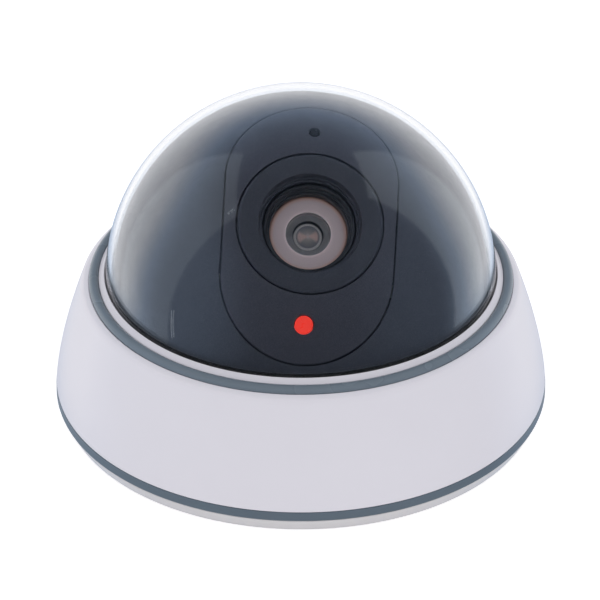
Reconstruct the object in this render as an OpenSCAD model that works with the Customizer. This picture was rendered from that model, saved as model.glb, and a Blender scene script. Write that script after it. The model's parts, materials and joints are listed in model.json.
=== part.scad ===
// Dome camera: a round mounting base, a lift-off cover with a clear dome, and an eyeball
// camera that pans, tilts, turns its picture level and focuses under the dome.
// The origin is the centre of the base's underside; +Z is up and the camera looks towards -Y.

/* [Cover] */
// Widest diameter of the housing
housing_d = 130; // [129.6:0.1:130.4]
// Height of the lip that the dome comes out of
lip_z = 39.99; // [39.91:0.02:40.09]
// Wall thickness of the housing
housing_wall = 2.4; // [2.2:0.1:2.5]
// Outer radius of the clear dome
dome_r = 51.6; // [51.5:0.02:51.64]
// Wall thickness of the clear dome
dome_wall = 1.5; // [1.4:0.05:1.5]

/* [Eyeball] */
// Outer radius of the black ball
ball_r = 49.3; // [49.2:0.05:49.4]
// Wall thickness of the black ball
ball_wall = 2; // [1.8:0.1:2.2]
// Height of the ball's centre above the table
ball_z = 37.9; // [37.8:0.05:38]
// Angle of the lens axis above the horizontal
lens_elevation = 49.6; // [47:0.2:51]
// How far the face plate is turned about the lens axis, clockwise as seen from outside
face_turn = 6.5; // [0:0.1:8]
// Half length of the long-hole shaped face plate, measured across the lens axis
face_half_length = 34.4; // [34:0.1:34.6]
// Half width of the face plate
face_half_width = 22; // [21.8:0.1:22.2]

/* [Lens] */
// Radius of the round bezel that turns in the face plate
bezel_r = 18.6; // [18.4:0.1:18.6]
// Distance of the bezel's flat front from the ball's centre
bezel_front = 45.9; // [45.7:0.1:46]
// Radius of the lens disc seen at the bottom of the well
lens_disc_r = 10.05; // [9.8:0.05:10.2]
// Depth of the lens disc behind the bezel's front
lens_depth = 8.7; // [8.5:0.1:8.9]
// Distance of the indicator lamp below the lens axis
lamp_offset = 25.9; // [25.7:0.1:26.3]
// Distance of the light sensor above the lens axis
sensor_offset = 25.7; // [25.5:0.1:26.5]

/* [Mounting] */
// Diameter of the circle of wall screw holes
screw_circle_d = 109; // [108:0.5:110]
// Number of wall screw holes
screw_holes = 3; // [2:1:4]
// Radius of a wall screw hole
screw_hole_r = 2.25; // [2:0.05:2.5]
// Radius of the cable hole through the grommet
cable_r = 3; // [2.5:0.1:3.5]

/* [Hidden] */
$fn = 96;
eps = 0.01;
fit_gap = 0.08;         // running clearance of a shaft in its bore
thread_gap = 0.05;      // clearance drawn round a screw in its own hole

housing_r = housing_d / 2;
base_top = 4.08;        // shoulder of the base that the grey band lies on
base_floor = 3;
band_top = 6.69;
cover_gap = 0.1;        // parting line between the band and the lift-off cover
side_turn_z = 36.05;    // where the sloping side rounds over into the shoulder
shoulder_r = 58.1;
side_bulge = 1.5;       // above 1 the side stays wide near the base and leans in higher up
spigot_r = 61.2;        // raised wall on the base that the cover drops over
spigot_top = 11;
lip_under_z = 35.6;     // underside of the lip, where the dome's seal lies
flange_top_z = 34.6;
flange_bottom_z = 33.1;
flange_r = 55.3;
ring_bottom_z = 30.8;
ring_screw_pcr = 54;
collar_inner_r = 49.62; // collar between the ball and the dome
collar_t = 0.35;
notch_r = 2;            // room round a screw boss in the dome's flange and seal
set_screw_z = 9.2;

ball_inner_r = ball_r - ball_wall;
ball_rim = -19;         // how far the ball reaches below its centre
face_turn_r = face_half_width;
face_straight = face_half_length - face_half_width;
face_back = 33.4;       // rear edge of the face plate's skirt, along the lens axis
face_inner_r = 46;
skirt_t = 1.6;          // thickness of the face plate's skirt
ear_x = 26.5;
ear_y = 8;
post_x = 9;
post_y = 22;
boss_bore_r = 15.58;    // bore that the lens holder turns in
boss_r = 17.6;
recess_floor = 43;      // floor under the bezel
bezel_gap = 0.3;
lens_front = bezel_front - lens_depth;
barrel_r = 11.8;
holder_tube_r = 15.5;
leg_xy = 12.4;          // the four legs behind the lens holder
board_back = 8;

turntable_z = 11.5;
turntable_t = 2.5;
turntable_r = 37;
hub_spindle_r = 7;
arm_out = 38;           // outer face of a yoke arm
arm_t = 2.5;
arm_half_w = 5;
pivot_r = 2.45;
stop_radius = 14.3;

ring_screw_angles = [45, 135, 225, 315];
set_screw_angles = [30, 90, 150];
board_screw_angles = [45, 135, 225, 315];
hub_screw_angles = [30, 150, 270];

// ---- shared shapes ----

// A flat ring or tube wall between two heights.
module ring(outer, inner, low, high) {
    translate([0, 0, low])
        difference() {
            cylinder(r = outer, h = high - low);
            translate([0, 0, -1]) cylinder(r = inner, h = high - low + 2);
        }
}

// Children placed at a radius, once for each angle.
module around(radius, angles) {
    for (a = angles)
        rotate([0, 0, a])
            translate([radius, 0, 0])
                children();
}

// Moves children into the lens frame: Z along the lens axis, Y up the face plate, X across.
module lens_frame() {
    translate([0, 0, ball_z])
        rotate([90 - lens_elevation, 0, 0])
            children();
}

// The lens frame as the face plate sits in it, turned a little about the lens axis.
module face_frame() {
    lens_frame()
        rotate([0, 0, -face_turn])
            children();
}

// A long hole shape: a circle drawn out along Y.
module long_hole(r, straight) {
    for (side = [-1, 1])
        translate([0, side * straight]) circle(r = r);
    square([2 * r, 2 * straight], center = true);
}

// A prism of the face plate's outline grown by extra, between two distances along the lens axis.
module face_prism(extra, low, high) {
    translate([0, 0, low])
        linear_extrude(height = high - low)
            long_hole(face_turn_r + extra, face_straight);
}

// A pan-head screw pointing down from z = 0, with a cross recess.
module screw(shank_r, length, head_r, head_h) {
    difference() {
        union() {
            translate([0, 0, -length]) cylinder(r = shank_r, h = length + eps);
            cylinder(r = head_r, h = head_h);
        }
        for (a = [0, 90])
            rotate([0, 0, a])
                translate([-head_r * 0.6, -head_r * 0.13, head_h * 0.45])
                    cube([head_r * 1.2, head_r * 0.26, head_h]);
    }
}

// ---- base ----

module base_plate() {
    color("whitesmoke")
    difference() {
        union() {
            rotate_extrude()
                polygon([
                    [0, 0], [62.6, 0], [housing_r - 0.06, base_top], [spigot_r, base_top],
                    [spigot_r, spigot_top - 0.6], [spigot_r - 0.6, spigot_top],
                    [spigot_r - 2, spigot_top], [spigot_r - 2, base_floor], [0, base_floor]
                ]);
            around(screw_circle_d / 2, hole_angles()) cylinder(r = 4.3, h = 4.6);
            around(29, board_screw_angles) cylinder(r = 2.5, h = 6);
            translate([0, 42, 0]) cylinder(r = 8.5, h = 4.2);
        }
        around(screw_circle_d / 2, hole_angles())
            translate([0, 0, -1]) cylinder(r = screw_hole_r, h = 8);
        around(29, board_screw_angles)
            translate([0, 0, 1.2]) cylinder(r = 1 + thread_gap, h = 6);
        around(14.3, hub_screw_angles)
            translate([0, 0, 1]) cylinder(r = 1 + thread_gap, h = 4);
        translate([0, 42, -1]) cylinder(r = 6, h = 8);
        translate([0, 42, -1]) cylinder(r = 7.6, h = 2.25);
    }
}

function hole_angles() = [for (i = [0 : screw_holes - 1]) 270 + i * 360 / screw_holes];

module lower_band() {
    color("slategray")
    rotate_extrude()
        polygon([
            [spigot_r + 0.1, base_top], [housing_r - 0.3, base_top], [housing_r, base_top + 0.35],
            [housing_r, band_top - 0.35], [housing_r - 0.3, band_top], [spigot_r + 0.1, band_top]
        ]);
}

module cable_grommet() {
    color("dimgray")
    translate([0, 42, 0])
        rotate_extrude()
            polygon([
                [cable_r, 0.3], [7.5, 0.3], [7.5, 1.2], [5.95, 1.2], [5.95, 4.25], [7.6, 4.25],
                [7.2, 5.4], [cable_r + 0.6, 5.4], [cable_r, 4.8]
            ]);
}

module pan_hub() {
    color("silver")
    difference() {
        union() {
            translate([0, 0, base_floor]) cylinder(r = 17, h = 2.4);
            cylinder_between(11, base_floor, turntable_z - 0.3);
            cylinder_between(hub_spindle_r, base_floor, 17.4);
            rotate([0, 0, 90]) translate([stop_radius, 0, base_floor]) cylinder(r = 1, h = 7.8);
        }
        translate([0, 0, base_floor - 1]) cylinder(r = 4.5, h = 20);
        around(14.3, hub_screw_angles)
            translate([0, 0, base_floor - 1]) cylinder(r = 1 + thread_gap, h = 5);
        ring(hub_spindle_r + 1, 6.2, 16, 16.6);
    }
}

module cylinder_between(r, low, high) {
    translate([0, 0, low]) cylinder(r = r, h = high - low);
}

module hub_screws() {
    color("gray")
    around(14.3, hub_screw_angles)
        translate([0, 0, base_floor + 2.4]) screw(1, 4, 1.9, 1.2);
}

module main_board() {
    color("darkgreen")
    difference() {
        ring(33, 17.6, 6, 7.6);
        around(29, board_screw_angles)
            translate([0, 0, 5]) cylinder(r = 1 + thread_gap, h = 4);
    }
}

module board_screws() {
    color("gray")
    around(29, board_screw_angles)
        translate([0, 0, 7.6]) screw(1, 6, 1.9, 1.3);
}

module processor_chip() {
    color("black")
    union() {
        translate([19.5, -5, 7.7]) cube([10, 10, 1.4]);
        for (i = [-4 : 4])
            for (side = [19.1, 29.5])
                translate([side, i - 0.2, 7.6]) cube([0.4, 0.4, 0.6]);
    }
}

module board_capacitors() {
    color("lightsteelblue")
    for (a = [165, 180, 195])
        rotate([0, 0, a])
            translate([28, 0, 7.6]) cylinder(r = 2, h = 3);
}

module board_inductor() {
    color("dimgray")
    translate([0, -25, 7.6])
        difference() {
            translate([-4, -4, 0]) cube([8, 8, 3]);
            translate([0, 0, 2.6]) cylinder(r = 2.4, h = 1);
        }
}

module cable_socket() {
    color("ivory")
    difference() {
        translate([-7, 22, 7.6]) cube([14, 5.5, 3.2]);
        for (i = [-2 : 2])
            translate([i * 2.5 - 0.9, 23, 8.4]) cube([1.8, 6, 1.8]);
    }
}

module pan_washer() {
    color("silver")
    ring(10.5, hub_spindle_r + fit_gap, 14.7, 15.2);
}

module pan_clip() {
    color("gray")
    difference() {
        ring(9.4, 6.25, 16.05, 16.55);
        translate([0, -2, 15]) cube([12, 4, 3]);
    }
}

// ---- cover ----

// Outer outline of the housing from its lower edge to the inner edge of the lip.
function side_r(z) = housing_r - 0.1
    - (housing_r - 0.1 - shoulder_r) * pow((z - band_top) / (side_turn_z - band_top), side_bulge);

module housing_shell() {
    steps = 12;
    outside = [for (i = [0 : steps])
        let (z = band_top + cover_gap + (side_turn_z - band_top - cover_gap) * i / steps) [side_r(z), z]];
    inside = [for (i = [steps : -1 : 0])
        let (z = band_top + cover_gap + (32.6 - band_top - cover_gap) * i / steps) [side_r(z) - housing_wall, z]];
    color("lavender")
    difference() {
        union() {
            rotate_extrude()
                polygon(concat(
                    outside,
                    [[57.85, 36.5], [57.2, 37.05], [55.95, 37.55], [55.95, 36.95], [53.3, 38.11],
                     [53.3, 38.75], [52.35, 39.55], [51.95, lip_z - 0.06], [51.7, lip_z - 0.15], [51.7, lip_under_z],
                     [55.6, lip_under_z]],
                    inside));
            around(ring_screw_pcr, ring_screw_angles) cylinder_between(1.7, flange_bottom_z, 36);
            around(61.6, set_screw_angles)
                translate([-0.1, 0, set_screw_z]) rotate([0, 90, 0]) cylinder(r = 2.3, h = 1.5);
        }
        around(ring_screw_pcr, ring_screw_angles)
            translate([0, 0, flange_bottom_z - 1]) cylinder(r = 0.9 + thread_gap, h = 4.2);
        around(60, set_screw_angles)
            translate([0, 0, set_screw_z]) rotate([0, 90, 0]) cylinder(r = 1.5 + thread_gap, h = 8);
    }
}

// The grey bead in the groove of the lip; its section is a half round standing proud.
module upper_band() {
    color("slategray")
    rotate_extrude()
        intersection() {
            translate([54.62, 37.87]) circle(r = 1.42);
            polygon([[53.36, 38.12], [55.89, 37.01], [55.89, 37.59], [57, 38.85], [56, 40.25],
                     [53, 40.25], [53.36, 38.75]]);
        }
}

module clear_dome() {
    color("lightblue", 0.4)
    difference() {
        union() {
            intersection() {
                translate([0, 0, ball_z]) sphere(r = dome_r);
                translate([0, 0, ball_z]) cylinder(r = 60, h = 60);
            }
            cylinder_between(dome_r, flange_bottom_z, ball_z);
            cylinder_between(flange_r, flange_bottom_z, flange_top_z);
        }
        translate([0, 0, ball_z]) sphere(r = dome_r - dome_wall);
        cylinder_between(dome_r - dome_wall, flange_bottom_z - 1, ball_z);
        around(ring_screw_pcr, ring_screw_angles) cylinder_between(notch_r, 30, 35.5);
    }
}

module dome_seal() {
    color("darkslategray")
    difference() {
        ring(55.1, 51.68, flange_top_z, lip_under_z);
        around(ring_screw_pcr, ring_screw_angles) cylinder_between(notch_r, 33, 37);
    }
}

// The ring under the dome's flange, with a thin collar that hides the gap round the ball.
module dome_retaining_ring() {
    color("dimgray")
    difference() {
        union() {
            ring(55.4, collar_inner_r, ring_bottom_z, flange_bottom_z - 0.1);
            ring(55.4, 50.3, ring_bottom_z, flange_bottom_z);
            ring(collar_inner_r + collar_t, collar_inner_r, ring_bottom_z, lip_z - 0.1);
        }
        around(ring_screw_pcr, ring_screw_angles)
            translate([0, 0, 30]) cylinder(r = 0.9 + thread_gap, h = 5);
    }
}

module dome_ring_screws() {
    color("gray")
    around(ring_screw_pcr, ring_screw_angles)
        translate([0, 0, ring_bottom_z]) rotate([180, 0, 0]) screw(0.9, 5, 1.7, 1.1);
}

module cover_set_screws() {
    color("gray")
    around(spigot_r + 0.1, set_screw_angles)
        translate([0, 0, set_screw_z])
            rotate([0, 90, 0])
                difference() {
                    cylinder(r = 1.5, h = 3);
                    translate([0, 0, 1.8]) rotate([0, 0, 30]) cylinder(r = 0.8, h = 2, $fn = 6);
                }
}

// ---- pan ----

module turntable() {
    color("darkgray")
    difference() {
        union() {
            cylinder_between(turntable_r, turntable_z, turntable_z + turntable_t);
            cylinder_between(11, turntable_z, 14.6);
            rotate([0, 0, 270])
                translate([stop_radius - 1.2, -1, 9]) cube([2.4, 2, turntable_z - 9 + eps]);
        }
        cylinder_between(hub_spindle_r + fit_gap, 5, 20);
        around(20, [40, 140, 220, 320]) cylinder_between(4.5, 5, 20);
        for (x = [-30, 30])
            for (y = [-3, 3])
                translate([x, y, 5]) cylinder(r = 1 + thread_gap, h = 20);
    }
}

// One side of the yoke, drawn for the +X side: a foot on the turntable and an upright arm.
module yoke_arm() {
    foot_z = turntable_z + turntable_t;
    inner = arm_out - arm_t;
    difference() {
        union() {
            translate([26, -arm_half_w, foot_z]) cube([inner - 26 + eps, 2 * arm_half_w, 2]);
            translate([inner, -arm_half_w, foot_z])
                cube([arm_t, 2 * arm_half_w, ball_z - foot_z]);
            translate([inner, 0, ball_z]) rotate([0, 90, 0]) cylinder(r = arm_half_w, h = arm_t);
            for (y = [-arm_half_w, arm_half_w - 1.2])
                translate([inner, y, foot_z])
                    rotate([90, 0, 180])
                        translate([-0.01, 0, -1.2])
                            linear_extrude(height = 1.2) polygon([[0, 0], [3.6, 0], [0, 9]]);
        }
        translate([30, 0, ball_z]) rotate([0, 90, 0]) cylinder(r = pivot_r + fit_gap, h = 12);
        for (y = [-3, 3])
            translate([30, y, foot_z - 1]) cylinder(r = 1 + thread_gap, h = 5);
    }
}

module yoke_arm_right() {
    color("darkgray") yoke_arm();
}

module yoke_arm_left() {
    color("darkgray") rotate([0, 0, 180]) yoke_arm();
}

module yoke_screws() {
    color("gray")
    for (x = [-30, 30])
        for (y = [-3, 3])
            translate([x, y, turntable_z + turntable_t + 2]) screw(1, 4, 1.6, 1.2);
}

module tilt_washers() {
    color("silver")
    at_pivots() ring(4.6, pivot_r + fit_gap, arm_out + 0.05, arm_out + 0.65);
}

// ---- tilt ----

// The four points where the face plate is screwed to the ball, in the lens frame.
module at_ears() {
    for (x = [-ear_x, ear_x])
        for (y = [-ear_y, ear_y])
            translate([x, y, 0])
                children();
}

// The four points where the indicator board is screwed to the face plate.
module at_posts() {
    for (x = [-post_x, post_x])
        for (y = [-post_y, post_y])
            translate([x, y, 0])
                children();
}

// Both ends of the tilt axis, with Z outwards.
module at_pivots() {
    for (side = [0, 180])
        rotate([0, 0, side])
            translate([0, 0, ball_z])
                rotate([0, 90, 0])
                    children();
}

module ball_shell() {
    color("black")
    difference() {
        intersection() {
            translate([0, 0, ball_z]) sphere(r = ball_r);
            cylinder_between(60, ball_z + ball_rim, ball_z + 60);
        }
        difference() {
            translate([0, 0, ball_z]) sphere(r = ball_inner_r);
            at_pivots() cylinder_between(6, arm_out + 0.8, 60);
            face_frame() at_ears() cylinder_between(2.3, face_back + 1.65, 60);
        }
        face_frame() face_prism(0.25, 25, 60);
        face_frame() at_ears() cylinder_between(1 + thread_gap, 30, 38.6);
        at_pivots() cylinder_between(pivot_r + 0.02, arm_out, 46);
    }
}

module face_plate() {
    color("black")
    face_frame()
        difference() {
            union() {
                intersection() {
                    sphere(r = ball_r);
                    face_prism(0, face_back, 60);
                }
                for (x = [-1, 1])
                    for (y = [-ear_y, ear_y])
                        translate([x * 24.85 - 4.15, y - 3, face_back]) cube([8.3, 6, 1.6]);
            }
            difference() {
                intersection() {
                    sphere(r = face_inner_r);
                    face_prism(-skirt_t, face_back - 1, 60);
                }
                cylinder_between(boss_r, 30, 60);
                cylinder_between(bezel_r + bezel_gap + 1.4, recess_floor - 1.8, 60);
                at_posts() cylinder_between(2.1, 35.3, 60);
            }
            cylinder_between(boss_bore_r, 20, 60);
            cylinder_between(bezel_r + bezel_gap, recess_floor, 60);
            translate([0, -lamp_offset, 20]) cylinder(r = 2.65, h = 40);
            translate([0, sensor_offset, 20]) cylinder(r = 1.55, h = 40);
            at_ears() cylinder_between(1 + thread_gap, 30, 36);
            at_posts() cylinder_between(0.8 + thread_gap, 30, 39.3);
        }
}

module face_screws() {
    color("gray")
    face_frame()
        at_ears()
            translate([0, 0, face_back]) rotate([180, 0, 0]) screw(1, 4.8, 1.8, 1.2);
}

module tilt_pivot_pins() {
    color("silver")
    at_pivots()
        difference() {
            union() {
                cylinder_between(pivot_r, 34, 45.5);
                cylinder_between(4, 33.4, 35.2);
            }
            translate([-3, -0.4, 33]) cube([6, 0.8, 1.1]);
        }
}

// A round lamp whose end is shaped flush with the ball.
module status_led() {
    color("red", 0.9)
    face_frame()
        union() {
            intersection() {
                translate([0, -lamp_offset, 0]) cylinder_between(2.4, 36.5, 46);
                sphere(r = ball_r - 0.1);
            }
            translate([0, -lamp_offset, 0]) cylinder_between(2.6, 36, 36.9);
            for (x = [-1.27, 1.27])
                translate([x - 0.25, -lamp_offset - 0.25, 34.65]) cube([0.5, 0.5, 1.4]);
        }
}

module light_sensor() {
    color("midnightblue")
    face_frame()
        translate([0, sensor_offset, 0])
            union() {
                translate([0, 0, 40]) sphere(r = 1.45);
                cylinder_between(1.45, 36.2, 40);
                for (x = [-0.8, 0.8])
                    translate([x - 0.2, -0.2, 34.65]) cube([0.4, 0.4, 1.6]);
            }
}

module indicator_board() {
    color("darkgreen")
    face_frame()
        difference() {
            translate([0, 0, 34])
                linear_extrude(height = 1.2)
                    long_hole(19.6, 10.4);
            cylinder_between(boss_r + 0.3, 30, 40);
            for (y = [-lamp_offset, sensor_offset])
                translate([-1.8, y - 0.5, 30]) cube([3.6, 1, 10]);
            at_posts() cylinder_between(0.8 + thread_gap, 30, 39);
        }
}

module indicator_screws() {
    color("gray")
    face_frame()
        at_posts()
            translate([0, 0, 34]) rotate([180, 0, 0]) screw(0.8, 4.4, 1.5, 1);
}

// ---- lens holder, which turns to level the picture ----

module lens_bezel() {
    color("black")
    lens_frame()
        rotate_extrude()
            polygon([
                [13.2, bezel_front], [17.9, bezel_front], [18.45, bezel_front - 0.25],
                [bezel_r, bezel_front - 0.7], [bezel_r, 43.4], [13.35, 43.4], [13.35, 40.6],
                [12.1, 40.6], [12.1, 42.9], [12.35, 43.1], [12.75, 43.1], [12.95, 43.35],
                [12.95, bezel_front - 0.5]
            ]);
}

module lens_holder() {
    color("dimgray")
    lens_frame()
        difference() {
            union() {
                ring(holder_tube_r, barrel_r + fit_gap, 30, 43.3);
                ring(19, barrel_r + fit_gap, 30, 32.4);
                for (x = [-leg_xy, leg_xy])
                    for (y = [-leg_xy, leg_xy])
                        translate([x, y, board_back + 1.6]) cylinder(r = 1.8, h = 20.5);
            }
            cylinder_between(13.4, 40.5, 50);
            for (x = [-leg_xy, leg_xy])
                for (y = [-leg_xy, leg_xy])
                    translate([x, y, 5]) cylinder(r = 0.9 + thread_gap, h = 10);
        }
}

module holder_washer() {
    color("silver")
    lens_frame() ring(17.6, 15.7, 32.4, 33.2);
}

module sensor_board() {
    color("darkgreen")
    lens_frame()
        difference() {
            translate([-15, -15, board_back]) cube([30, 30, 1.6]);
            for (x = [-leg_xy, leg_xy])
                for (y = [-leg_xy, leg_xy])
                    translate([x, y, 5]) cylinder(r = 0.9 + thread_gap, h = 10);
        }
}

module image_sensor() {
    color("darkslateblue")
    lens_frame()
        difference() {
            translate([-5, -4.5, board_back + 1.6]) cube([10, 9, 1.5]);
            translate([-3.4, -2.8, board_back + 2.9]) cube([6.8, 5.6, 1]);
        }
}

module sensor_socket() {
    color("ivory")
    lens_frame()
        difference() {
            translate([-5, -13.5, board_back - 1.8]) cube([10, 3, 1.8]);
            translate([-4.2, -14, board_back - 1.2]) cube([8.4, 2.4, 0.6]);
        }
}

module infrared_filter() {
    color("lightcyan", 0.6)
    lens_frame() translate([-4.6, -4.1, board_back + 3.15]) cube([9.2, 8.2, 0.5]);
}

module sensor_board_screws() {
    color("gray")
    lens_frame()
        for (x = [-leg_xy, leg_xy])
            for (y = [-leg_xy, leg_xy])
                translate([x, y, board_back]) rotate([180, 0, 0]) screw(0.9, 5.5, 1.6, 1);
}

// ---- focus ring, threaded on the barrel ----

module focus_ring() {
    ribs = 36;
    color("dimgray")
    lens_frame()
        difference() {
            ring(15.1, barrel_r + fit_gap, 24.8, 29.8);
            around(15.25, [for (i = [0 : ribs - 1]) i * 360 / ribs])
                cylinder_between(0.45, 24, 31);
        }
}

// ---- lens ----

module lens_barrel() {
    color("black")
    lens_frame()
        rotate_extrude()
            polygon([
                [barrel_r, 15], [barrel_r, 41.6], [barrel_r - 0.35, 41.95], [11.2, 41.95],
                [11.2, 40.3], [10.75, 40.1], [10.6, 39.9], [10.6, lens_front + 0.05],
                [10.3, lens_front + 0.05], [10.3, 33.5], [8.4, 33.5], [8.4, 19.5], [7, 19.5],
                [7, 15]
            ]);
}

module barrel_ring() {
    color("black")
    lens_frame()
        rotate_extrude()
            polygon([
                [lens_disc_r, lens_front + 0.1], [10.55, lens_front + 0.1], [10.55, 39.2],
                [10.25, 39.5], [lens_disc_r, 39]
            ]);
}

// The tinted disc round the pupil, with a round hole for the inner lens.
module lens_mask() {
    color("rosybrown")
    lens_frame() ring(10.2, 5.8, lens_front - 0.9, lens_front);
}

module front_glass() {
    color("lightblue", 0.35)
    lens_frame()
        difference() {
            intersection() {
                cylinder_between(5.75, 33.6, lens_front);
                translate([0, 0, lens_front - 22.2]) sphere(r = 22);
            }
            translate([0, 0, 26.5]) sphere(r = 8.6);
        }
}

module pupil_lens() {
    color("lightsteelblue", 0.6)
    lens_frame()
        intersection() {
            cylinder_between(3.8, 28, 36);
            translate([0, 0, 27.4]) sphere(r = 5.4);
        }
}

module aperture_stop() {
    color("black")
    lens_frame() ring(8.35, 2, 26.5, 27.1);
}

module rear_lens() {
    color("lightblue", 0.35)
    lens_frame()
        intersection() {
            cylinder_between(6.9, 15.5, 20);
            translate([0, 0, 30.5]) sphere(r = 15);
            translate([0, 0, 8]) sphere(r = 12);
        }
}

base_plate();
lower_band();
cable_grommet();
pan_hub();
hub_screws();
main_board();
board_screws();
processor_chip();
board_capacitors();
board_inductor();
cable_socket();
pan_washer();
pan_clip();
housing_shell();
upper_band();
clear_dome();
dome_seal();
dome_retaining_ring();
dome_ring_screws();
cover_set_screws();
turntable();
yoke_arm_left();
yoke_arm_right();
yoke_screws();
tilt_washers();
ball_shell();
face_plate();
face_screws();
tilt_pivot_pins();
status_led();
light_sensor();
indicator_board();
indicator_screws();
lens_bezel();
lens_holder();
holder_washer();
sensor_board();
image_sensor();
sensor_socket();
infrared_filter();
sensor_board_screws();
focus_ring();
lens_barrel();
front_glass();
lens_mask();
pupil_lens();
aperture_stop();
rear_lens();
barrel_ring();
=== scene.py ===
"""The looks of the dome camera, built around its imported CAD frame."""

import json
import math

import bpy
import bmesh
from mathutils import Matrix, Vector


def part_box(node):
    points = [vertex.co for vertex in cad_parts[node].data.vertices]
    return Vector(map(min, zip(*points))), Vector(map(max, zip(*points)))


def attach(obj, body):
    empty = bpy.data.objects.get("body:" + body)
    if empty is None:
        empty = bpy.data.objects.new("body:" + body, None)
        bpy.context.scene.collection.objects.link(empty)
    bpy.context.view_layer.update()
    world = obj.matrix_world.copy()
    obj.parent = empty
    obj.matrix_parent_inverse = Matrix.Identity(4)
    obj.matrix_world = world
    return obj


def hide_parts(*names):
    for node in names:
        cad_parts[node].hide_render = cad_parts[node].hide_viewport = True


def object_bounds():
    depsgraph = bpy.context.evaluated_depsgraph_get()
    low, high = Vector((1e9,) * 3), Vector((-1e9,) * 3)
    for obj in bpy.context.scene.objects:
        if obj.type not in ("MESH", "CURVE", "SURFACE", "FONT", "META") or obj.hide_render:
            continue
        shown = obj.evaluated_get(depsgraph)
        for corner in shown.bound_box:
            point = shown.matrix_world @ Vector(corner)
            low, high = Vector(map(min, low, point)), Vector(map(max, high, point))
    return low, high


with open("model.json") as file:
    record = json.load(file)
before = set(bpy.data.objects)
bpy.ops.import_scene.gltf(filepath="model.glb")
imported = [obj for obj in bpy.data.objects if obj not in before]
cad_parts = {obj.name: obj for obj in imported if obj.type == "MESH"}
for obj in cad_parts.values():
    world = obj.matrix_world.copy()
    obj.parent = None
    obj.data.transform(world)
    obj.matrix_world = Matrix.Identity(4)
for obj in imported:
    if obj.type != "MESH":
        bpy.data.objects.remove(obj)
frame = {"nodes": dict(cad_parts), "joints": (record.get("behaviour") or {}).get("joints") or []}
cad_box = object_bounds()
scene = bpy.context.scene

MM = 0.001

# ---------------------------------------------------------------- places taken from the frame

JOINTS = {j["name"]: j for j in frame["joints"]}
BALL_CENTRE = Vector(JOINTS["tilt_turn"]["pos_m"])
LENS_AXIS = Vector(JOINTS["turret_turn"]["axis"]).normalized()
ACROSS = Vector((1, 0, 0))
LENS_FRAME = Matrix.Translation(BALL_CENTRE) @ Matrix(
    (ACROSS, LENS_AXIS.cross(ACROSS), LENS_AXIS)
).transposed().to_4x4()
BALL_Z = BALL_CENTRE.z / MM
LAMP_OFFSET = 25.9       # mm from the lens axis down to the lamp
LAMP_SIDE = (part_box("status_led")[0].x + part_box("status_led")[1].x) / 2 / MM
FACE_FRAME = LENS_FRAME @ Matrix.Rotation(math.asin(LAMP_SIDE / LAMP_OFFSET), 4, "Z")
DOME_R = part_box("clear_dome")[1].z / MM - BALL_Z
BASE_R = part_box("lower_band")[1].x / MM
BAND_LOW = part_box("lower_band")[0].z / MM
BAND_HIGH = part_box("lower_band")[1].z / MM
SKIRT_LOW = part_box("housing_shell")[0].z / MM
FLANGE_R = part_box("clear_dome")[1].x / MM
FLANGE_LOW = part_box("clear_dome")[0].z / MM

# ---------------------------------------------------------------- sizes of the pieces, in mm

DOME_WALL = 1.5
FLANGE_T = 1.5
SIDE_TURN_Z = 36.05
SHOULDER_R = 58.1
WALL = 2.4
LIP_Z = 39.99
LIP_R = 51.7
LIP_UNDER = 35.6
SPIGOT_R = 61.2
SPIGOT_TOP = 11
FLOOR_TOP = 3
BALL_R = 49.3
BALL_WALL = 2.0
BALL_RIM = -19.0
FACE_TURN_R = 22.0
FACE_STRAIGHT = 12.4
FACE_BACK = 33.4
FACE_INNER_R = 46.0
SEAM = 0.36
SKIRT_T = 1.6
BEZEL_R = 18.6
BEZEL_FRONT = 45.9
BEZEL_BACK = 43.4
SLEEVE_R = 13.35
SLEEVE_BORE_R = 12.1
SLEEVE_BACK = 40.6
RECESS_R = 18.98
RECESS_FLOOR = 43.0
BOSS_BORE_R = 15.58
BOSS_R = 17.6
BARREL_R = 11.8
BARREL_FRONT = 41.95
BARREL_BACK = 15
LENS_FRONT = 37.2
LENS_DISC_R = 10.05
PUPIL_R = 5.8
PUPIL_LENS_R = 3.8
PUPIL_LENS_Z = 34.6      # how far its front stands from the ball's centre
LAMP_HOLE_R = 2.55
LAMP_R = 2.32
LAMP_SQUASH = Matrix.Diagonal((1.0, 0.88, 1.0, 1.0))     # the lamp is narrower one way and so looks round
SENSOR_OFFSET = 25.7
SENSOR_HOLE_R = 1.55
EAR_X = 26.5
EAR_Y = 8.0
DOME_SCREW_R = 54
DOME_SCREW_ANGLES = (45, 135, 225, 315)
SET_SCREW_Z = 9.2
SET_SCREW_ANGLES = (30, 90, 150)
WALL_SCREW_R = 54.5
WALL_SCREW_ANGLES = (270, 30, 150)
BOARD_POST_R = 29
BOARD_POST_ANGLES = (45, 135, 225, 315)
HUB_SCREW_R = 14.3
HUB_SCREW_ANGLES = (30, 150, 270)
GROMMET_R = 42           # how far the cable entry is from the upright axis
GROMMET_ANGLE = 90
FINE = 256               # points round a large turned piece


# ================================================================ mesh tools

def link_mesh(name, verts, faces, sharp=35):
    """A smooth-shaded mesh object from points in metres; edges over `sharp` degrees stay crisp."""
    mesh = bpy.data.meshes.new(name)
    mesh.from_pydata(verts, [], faces)
    mesh.validate()
    finish_mesh(mesh, sharp)
    obj = bpy.data.objects.new(name, mesh)
    scene.collection.objects.link(obj)
    return obj


def finish_mesh(mesh, sharp=35):
    """Merges doubled points, turns all faces outwards and shades the mesh smooth."""
    bm = bmesh.new()
    bm.from_mesh(mesh)
    bmesh.ops.remove_doubles(bm, verts=bm.verts, dist=1e-7)
    bmesh.ops.recalc_face_normals(bm, faces=bm.faces)
    bm.to_mesh(mesh)
    bm.free()
    mesh.shade_smooth()
    mesh.set_sharp_from_angle(angle=math.radians(sharp))


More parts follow.
